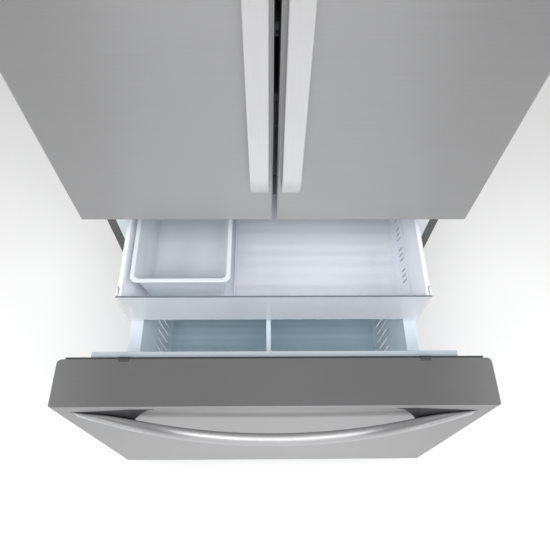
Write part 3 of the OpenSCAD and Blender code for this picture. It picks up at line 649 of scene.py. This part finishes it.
def add_drawer_handle():
    """A bowed bar, and at each end a dark cap that closes the narrow part of the gap behind it; the cap's
    near-black is painted shade.

    Further in, a cap drops away from the bar and rises up the drawer's face, up to a tip.
    """
    low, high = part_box("drawer_handle")
    plane = high.y
    half = (high.x - low.x) / 2
    rise = high.y - low.y
    height = high.z - low.z
    middle_z = (low.z + high.z) / 2
    bar_thick = 21 * MM
    bar_reach = half * 0.9995
    shade_cap_reach = half * 0.995
    shade_cap_end = half - 126 * MM
    shade_cap_tip = shade_cap_end - 50 * MM
    tip_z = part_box("drawer_front_skin")[1].z - 17 * MM

    def edges(x):
        """How far the bar's front and its back edge stand out from the drawer at x."""
        front = max(bow_y(x, half, rise), 0.8 * MM)
        # A soft minimum of the bar's thickness and three quarters of what stands out
        thick = (bar_thick ** -4 + (0.75 * front) ** -4) ** -0.25
        return front, front - thick

    def build_bar(bm):
        rings = []
        for i in range(BAR_STEPS + 1):
            x = bar_reach * math.sin(math.radians(-90 + 180 * i / BAR_STEPS))
            front, crest = edges(x)
            section = bar_section(crest, front, height)
            rings.append([Vector((x, plane - out, middle_z + up)) for out, up in section])
        loft(bm, rings)

    def build_shade_caps(bm):
        for side in (-1, 1):
            rings = []
            for i in range(SHADE_CAP_STEPS + 1):
                x = shade_cap_tip + (shade_cap_reach - shade_cap_tip) * i / SHADE_CAP_STEPS
                inward = min((half - x) / (half - shade_cap_end), 1.0)
                reach = edges(x)[1] + 1 * MM
                bottom = low.z + 1 * MM
                front_top = high.z - 3 * MM - (height - 12 * MM) * inward
                back_top = high.z - 3 * MM + (tip_z - high.z) * inward
                if x < shade_cap_end:
                    past = (shade_cap_end - x) / (shade_cap_end - shade_cap_tip)
                    climb = math.sin(math.radians(90 * past))
                    reach *= max(1 - math.sqrt(1 - (1 - past) ** 2), 0.02)
                    bottom += (back_top - 2 * MM - bottom) * climb
                    front_top += (back_top - 0.5 * MM - front_top) * climb
                corners = ((0.0, bottom), (reach, bottom), (reach, front_top), (0.0, back_top))
                rings.append([Vector((side * x, plane - out, z)) for out, z in corners])
            loft(bm, rings)

    # The caps' near-black colour is painted shade in the narrow gap behind the bar
    shade_cap_mesh = mesh_from("bow_end_shade_caps", build_shade_caps)
    smooth_by_angle(shade_cap_mesh, 40)
    make_piece("bow_end_shade_caps", shade_cap_mesh, "freezer_drawer", "black_plastic", material=CAP_SHADE_AND_CLIP_BLACK)
    bar_mesh = mesh_from("bow_handle", build_bar)
    smooth_by_angle(bar_mesh, 40)
    return make_piece("bow_handle", bar_mesh, "freezer_drawer", "handle_steel", ["drawer_handle"], BOW_STEEL)


def add_drawer_clips():
    """Two small dark clips where the liner meets the top edge of the drawer's skin."""
    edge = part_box("drawer_front_skin")[1]
    clip_x = 316 * MM
    half_width = 11 * MM
    boxes = []
    for x in (-clip_x, clip_x):
        boxes.append(((x - half_width, edge.y - 6 * MM, edge.z - 7 * MM),
                      (x + half_width, edge.y + 4.5 * MM, edge.z + 1.3 * MM)))
    clips = rounded_boxes("drawer_clips", boxes, 0.6 * MM)
    make_piece("drawer_clips", clips, "freezer_drawer", "black_plastic", material=CAP_SHADE_AND_CLIP_BLACK)


def slot_boxes(node, count, pitch, width, z0, z1, start):
    """Cutters for a row of slots along Y, through both side walls of a node."""
    low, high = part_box(node)
    boxes = []
    for i in range(count):
        y = start + i * pitch
        boxes.append(((low.x - 10 * MM, y - width / 2, z0), (high.x + 10 * MM, y + width / 2, z1)))
    return boxes


def add_lower_basket():
    """A basket with slots in its sides, a wide rim with a bead on it, and a wavy floor."""
    low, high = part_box("lower_basket")
    wall = 2.5 * MM
    side_rim = 30.5 * MM
    end_rim = 9.5 * MM
    body_low = Vector((low.x + side_rim, low.y + end_rim, low.z))
    body_high = Vector((high.x - side_rim, high.y - end_rim, high.z))
    rings = tub_rings(body_low, body_high, wall, lean=(18 * MM, 9.5 * MM), corner=20 * MM, bottom_r=9 * MM,
                      lip=(side_rim, end_rim, 4 * MM, 24 * MM))
    mesh = mesh_from("freezer_basket", lambda bm: loft(bm, rings))
    basket = make_piece("freezer_basket", mesh, "freezer_drawer", "basket_plastic", ["lower_basket"])
    slots = 8
    pitch = 25 * MM
    cut(basket, slot_boxes("lower_basket", slots, pitch, width=5.5 * MM,
                           z0=low.z + 35 * MM, z1=low.z + 152 * MM,
                           start=(low.y + high.y - (slots - 1) * pitch) / 2 + 2 * MM))
    smooth_by_angle(basket.data)
    floor_z = low.z + wall
    inset = 24 * MM
    mat = wavy_plate("basket_floor_mat",
                     Vector((body_low.x + inset, body_low.y + inset, floor_z - 0.5 * MM)),
                     Vector((body_high.x - inset, body_high.y - inset, floor_z + 1.2 * MM)),
                     pitch=24 * MM, depth=0.7 * MM)
    # The floor's lighter, bluer copy of the basket plastic is painted light inside the basket
    make_piece("basket_floor_mat", mat, "freezer_drawer", "basket_plastic", material=BASKET_FLOOR_PAINTED_LIGHT)
    bead_width = 4 * MM
    beads = []
    for x in (body_low.x - 1 * MM, body_high.x + 1 * MM - bead_width):
        beads.append(((x, body_low.y + 18 * MM, high.z - 1 * MM),
                      (x + bead_width, body_high.y - 18 * MM, high.z + 1.2 * MM)))
    make_piece("basket_rim_bead", rounded_boxes("basket_rim_bead", beads, 0.9 * MM, 3),
               "freezer_drawer", "divider_plastic")


def add_upper_tray():
    """A shallow tray, open at the front where its clear panel stands, with slots in its sides."""
    low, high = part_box("upper_tray")
    clear_low, clear_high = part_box("tray_clear_front")
    wall = 2.5 * MM
    wall_x = 366 * MM + wall
    rim_x = 377.5 * MM
    lean = 28 * MM
    front = low.y

    # A closed tub that starts before the front, where the first cutter takes its front wall off
    body_low = Vector((-wall_x, front - 40 * MM, low.z))
    body_high = Vector((wall_x, high.y - 3 * MM, high.z))
    rings = tub_rings(body_low, body_high, wall, lean=(lean, 9 * MM), corner=12 * MM, bottom_r=7 * MM,
                      lip=(rim_x - wall_x, 3 * MM, 4 * MM, 12 * MM))
    mesh = mesh_from("freezer_tray", lambda bm: loft(bm, rings))
    tray = make_piece("freezer_tray", mesh, "tray", "tray_plastic", ["upper_tray"])
    outside_x = 500 * MM
    spare = 50 * MM
    boxes = [((-outside_x, front - 2 * spare, low.z - spare), (outside_x, front, high.z + spare))]

    # The rim ends where the clear panel's sides begin
    for side in (-1, 1):
        x0, x1 = sorted((side * (wall_x + 3 * MM), side * outside_x))
        boxes.append(((x0, front - 10 * MM, high.z - 6 * MM),
                      (x1, clear_high.y + 0.3 * MM, high.z + spare)))
    slot_pitch = 16 * MM
    group_pitch = 65 * MM
    group_start = clear_low.y + 108 * MM
    for group in range(7):
        boxes += slot_boxes("upper_tray", 3, slot_pitch, width=4 * MM,
                            z0=low.z + 29 * MM, z1=low.z + 51 * MM,
                            start=group_start + group * group_pitch - slot_pitch)
    cut(tray, boxes)
    smooth_by_angle(tray.data)

    floor_z = low.z + wall
    fence_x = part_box("ice_bin")[1].x + 3 * MM
    mat_low = Vector((fence_x + 3 * MM, front + 3 * MM, floor_z - 0.5 * MM))
    mat_high = Vector((wall_x - lean - 7 * MM, high.y - 20 * MM, floor_z + 1.2 * MM))
    mat = wavy_plate("tray_floor_mat", mat_low, mat_high, pitch=36 * MM, depth=0.5 * MM)
    make_piece("tray_floor_mat", mat, "tray", "tray_plastic")
    fence = [((fence_x - 2 * MM, mat_low.y, floor_z - 0.5 * MM), (fence_x, mat_high.y, floor_z + 9 * MM))]
    make_piece("tray_fence", rounded_boxes("tray_fence", fence, 0.8 * MM), "tray", "tray_plastic")

    def build_vent_shade_strips(bm):
        """Thin grey strips inside the side walls, painted shade seen through their slots."""
        y0 = group_start - 30 * MM
        y1 = high.y - 20 * MM
        for side in (-1, 1):
            rings = []
            for z in (low.z + 27 * MM, low.z + 53 * MM):
                outside = wall_x - lean * (high.z - z) / (high.z - low.z)
                x0, x1 = sorted((side * (outside - 1.4 * MM), side * (outside - 0.4 * MM)))
                corners = ((x0, y0), (x1, y0), (x1, y1), (x0, y1))
                rings.append([Vector((x, y, z)) for x, y in corners])
            loft(bm, rings)
    vent_shade_strips = mesh_from("tray_vent_shade_strips", build_vent_shade_strips)
    make_piece("tray_vent_shade_strips", vent_shade_strips, "tray", "cover_plastic", material=VENT_PAINTED_SHADE)

    runner_z = low.z + 62 * MM
    runners = []
    for side in (-1, 1):
        x0, x1 = sorted((side * (wall_x - 17 * MM), side * high.x))
        runners.append(((x0, clear_high.y + 2 * MM, runner_z), (x1, high.y - 2 * MM, runner_z + 6 * MM)))
    make_piece("tray_runners", rounded_boxes("tray_runners", runners, 1 * MM), "tray", "tray_plastic")


def add_clear_front():
    """A smoked bead along the clear panel's top edge and down its ends; the panel keeps its CAD shape."""
    low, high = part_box("tray_clear_front")
    bead = 1.8 * MM
    wall = 4 * MM
    boxes = [((low.x, low.y - 0.1 * MM, high.z - bead), (high.x, low.y + 3.6 * MM, high.z + 0.3 * MM))]
    for x in (low.x, high.x - wall):
        boxes.append(((x, high.y - 1.6 * MM, low.z + 40 * MM),
                      (x + wall, high.y + 0.1 * MM, high.z + 0.2 * MM)))
    make_piece("clear_front_bead", rounded_boxes("clear_front_bead", boxes, 0.5 * MM),
               "tray", "cover_plastic", material=SMOKED_EDGE)


def add_ice_bin():
    """A deep tub with leaning walls and a thick rim."""
    low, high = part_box("ice_bin")
    rim = 8 * MM
    body_low = Vector((low.x + 12 * MM, low.y + rim, low.z))
    body_high = Vector((high.x - rim, high.y - rim, high.z))
    rings = tub_rings(body_low, body_high, wall=2.5 * MM, lean=(19 * MM, 7 * MM), corner=15 * MM,
                      bottom_r=10 * MM, lip=(rim, rim, 5 * MM, 18 * MM))
    mesh = mesh_from("ice_bucket", lambda bm: loft(bm, rings))
    smooth_by_angle(mesh)
    make_piece("ice_bucket", mesh, "tray", "bin_plastic", ["ice_bin"])


# ---------- Boxes inside the fridge ----------

def add_open_boxes(node, body, name, spans, lip):
    """Clear moulded boxes, open at the top, in place of a CAD node's plain ones."""
    def build(bm):
        for low, high in spans:
            loft(bm, tub_rings(low, high, wall=3 * MM, lean=(2 * MM, 2 * MM), corner=8 * MM,
                               bottom_r=6 * MM, lip=lip))
    mesh = mesh_from(name, build)
    smooth_by_angle(mesh)
    make_piece(name, mesh, body, "clear_plastic", [node])


def add_grip(node, name, inset, depth):
    """A white grip along the top of a drawer's front."""
    low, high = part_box(node)
    grip = [((low.x + inset, low.y - 0.5 * MM, high.z - depth),
             (high.x - inset, low.y + 3 * MM, high.z - 3 * MM))]
    make_piece(name, rounded_boxes(name, grip, 1.2 * MM, 3), node, "trim_white")


def add_fridge_boxes():
    """The two crispers and the wide drawer."""
    flange = 6 * MM
    for node in ("crisper_left", "crisper_right"):
        low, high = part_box(node)
        span = (Vector((low.x + flange, low.y, low.z)), Vector((high.x - flange, high.y, high.z)))
        add_open_boxes(node, node, f"{node}_box", [span], lip=(flange, 0, 4 * MM, 6 * MM))
        add_grip(node, f"{node}_grip", inset=60 * MM, depth=22 * MM)
    add_open_boxes("deli_drawer", "deli_drawer", "deli_box", [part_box("deli_drawer")],
                   lip=(0, 0, 4 * MM, 8 * MM))
    add_grip("deli_drawer", "deli_grip", inset=80 * MM, depth=24 * MM)


def node_islands(node):
    """The box of each separate solid of a CAD node, lowest first."""
    bm = bmesh.new()
    bm.from_mesh(frame["nodes"][node].data)
    bmesh.ops.remove_doubles(bm, verts=bm.verts, dist=1e-6)
    unvisited = set(bm.verts)
    spans = []
    while unvisited:
        stack = [next(iter(unvisited))]
        unvisited.discard(stack[0])
        members = []
        while stack:
            vertex = stack.pop()
            members.append(vertex.co.copy())
            for edge in vertex.link_edges:
                other = edge.other_vert(vertex)
                if other in unvisited:
                    unvisited.discard(other)
                    stack.append(other)
        spans.append((Vector(map(min, zip(*members))), Vector(map(max, zip(*members)))))
    bm.free()
    return sorted(spans, key=lambda span: (round(span[0].z, 4), round(span[0].x, 4)))


def add_door_bins():
    """The clear bins of each door, with a white band along the front of each."""
    for side in ("left", "right"):
        node = f"{side}_door_bins"
        body = f"{side}_door"
        name = f"{side}_bin_bands"
        spans = node_islands(node)
        add_open_boxes(node, body, f"{side}_bins", spans, lip=None)
        bands = []
        for low, high in spans:
            bands.append(((low.x - 0.2 * MM, high.y - 4 * MM, high.z - 16 * MM),
                          (high.x + 0.2 * MM, high.y + 0.6 * MM, high.z)))
        make_piece(name, rounded_boxes(name, bands, 1.5 * MM, 3), body, "trim_white")


# ---------- Screws and pipe at the back ----------

SCREW_RADIUS = 4.2 * MM
SCREW_HEAD = 2.6 * MM
SCREW_SIDES = 20


def evenly(first, last, count):
    """Numbers from first to last, all the same distance apart."""
    return [first + i * (last - first) / (count - 1) for i in range(count)]


def screw_into(bm, centre):
    """A pan head that faces backward."""
    turn = Vector((0, 1, 0)).to_track_quat("Z", "Y").to_matrix()
    profile = ((1.0, 0.0), (1.0, 0.9 * MM), (0.8, 1.9 * MM), (0.45, 2.4 * MM))
    rings = []
    for share, height in profile:
        radius = SCREW_RADIUS * share
        ring = []
        for i in range(SCREW_SIDES):
            a = math.radians(360 * i / SCREW_SIDES)
            ring.append(Vector(centre) + turn @ Vector((radius * math.cos(a), radius * math.sin(a), height)))
        rings.append(ring)
    loft(bm, rings)


def add_back_screws():
    """Screws down both sides and along the top of the back panel, and along the machine cover's top."""
    low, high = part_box("back_panel")
    cover_low, cover_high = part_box("machine_cover")
    edge = 12 * MM
    spots = []
    for x in (low.x + edge, high.x - edge):
        for z in evenly(low.z + 40 * MM, high.z - 40 * MM, 6):
            spots.append((x, high.y, z))
    for x in evenly(low.x, high.x, 6)[1:-1]:
        spots.append((x, high.y, high.z - edge))
    for x in evenly(cover_low.x + 14 * MM, cover_high.x - 14 * MM, 5):
        spots.append((x, cover_high.y, cover_high.z - 10 * MM))

    def build(bm):
        for x, y, z in spots:
            screw_into(bm, (x, min(y, cad_high.y - SCREW_HEAD), z))
    mesh = mesh_from("back_screws", build)
    smooth_by_angle(mesh, 25)
    make_piece("back_screws", mesh, "cabinet", "zinc_steel")


def add_pipe(name, points, radius, body, material):
    """A round pipe along a smooth curve through the points."""
    curve = bpy.data.curves.new(name, "CURVE")
    curve.dimensions = "3D"
    curve.bevel_depth = radius
    curve.bevel_resolution = 4
    curve.use_fill_caps = True
    spline = curve.splines.new("BEZIER")
    spline.bezier_points.add(len(points) - 1)
    for knot, point in zip(spline.bezier_points, points):
        knot.co = point
        knot.handle_left_type = knot.handle_right_type = "AUTO"
    curve.materials.append(material)
    obj = bpy.data.objects.new(name, curve)
    scene.collection.objects.link(obj)
    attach(obj, body)


def add_discharge_pipe():
    """A copper pipe from the compressor's top to the condenser."""
    low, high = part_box("compressor")
    coil_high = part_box("condenser")[1]
    top = high.z - 8 * MM
    behind_y = 505 * MM
    start = Vector(((low.x + high.x) / 2 + 40 * MM, (low.y + high.y) / 2, top))
    route = [
        start,
        start + Vector((0, 30 * MM, 6 * MM)),
        Vector((120 * MM, behind_y, top - 12 * MM)),
        Vector((-40 * MM, behind_y - 3 * MM, top - 20 * MM)),
        Vector((coil_high.x, behind_y, coil_high.z - 30 * MM)),
    ]
    add_pipe("discharge_pipe", route, 2.6 * MM, "cabinet", COPPER)


# ---------- Floor ----------

def add_floor():
    """A wide pale floor, just under the feet."""
    reach = 9
    mesh = bpy.data.meshes.new("floor")
    corners = [(-reach, -reach, 0), (reach, -reach, 0), (reach, reach, 0), (-reach, reach, 0)]
    mesh.from_pydata(corners, [], [(0, 1, 2, 3)])
    floor = bpy.data.objects.new("floor", mesh)
    s = Surface("floor_paint", 0.85)
    s.colour(s.ramp(s.noise(0.7, detail=3.0), (0.93, 0.93, 0.93), (0.95, 0.95, 0.95), at=(0.3, 0.7)))
    mesh.materials.append(s.material)
    floor.location.z = -0.5 * MM
    scene.collection.objects.link(floor)
    return floor


# ---------- Build ----------

add_camera()
softbox, front_fill, tray_glow = add_studio()
floor = add_floor()
dress_cad_nodes()
bow = add_drawer_handle()
add_drawer_clips()
add_lower_basket()
add_upper_tray()
add_clear_front()
add_ice_bin()
add_fridge_boxes()
add_door_bins()
add_back_screws()
add_discharge_pipe()

nodes = frame["nodes"]
door_steel = [nodes[f"{side}_door_{part}"] for side in ("left", "right") for part in ("skin", "handle")]
aim_light(softbox, [bow, nodes["drawer_front_skin"], *door_steel], "EXCLUDE")
aim_light(front_fill, [floor], "EXCLUDE")
aim_light(tray_glow, door_steel, "INCLUDE")
